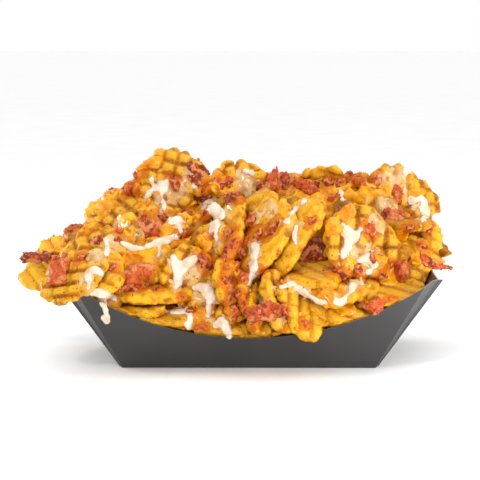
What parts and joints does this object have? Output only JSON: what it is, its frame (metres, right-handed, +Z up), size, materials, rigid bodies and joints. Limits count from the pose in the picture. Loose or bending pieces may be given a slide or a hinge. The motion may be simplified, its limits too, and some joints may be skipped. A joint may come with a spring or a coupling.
{
  "type": "loaded waffle fries in a paper tray",
  "caption": "Heap of lattice-cut potato slices with melted cheese, thick white sauce and bacon chunks, in a folded black paper tray with dipping long walls.",
  "frame": {"origin": "the middle of the tray's flat underside, on the surface that the tray stands on", "axes": "+X along the tray's long side to the right, +Y to the back, +Z up; the front with the low dip faces -Y"},
  "size_m": [0.2701, 0.159, 0.1276],
  "materials": {
    "black_board": "matte",
    "fries": "satin",
    "bacon": "satin"
  },
  "bodies": {
    "root": {"tray": "black_board", "waffle_fries": "fries", "bacon_01": "bacon", "bacon_02": "bacon", "bacon_03": "bacon", "bacon_04": "bacon", "bacon_05": "bacon", "bacon_06": "bacon", "bacon_07": "bacon", "bacon_08": "bacon", "bacon_09": "bacon", "bacon_10": "bacon", "bacon_11": "bacon", "bacon_12": "bacon", "bacon_13": "bacon", "bacon_14": "bacon", "bacon_15": "bacon", "bacon_16": "bacon", "bacon_17": "bacon", "bacon_18": "bacon", "bacon_19": "bacon", "bacon_20": "bacon", "bacon_21": "bacon", "bacon_22": "bacon", "bacon_23": "bacon", "bacon_24": "bacon"}
  },
  "joints": []
}
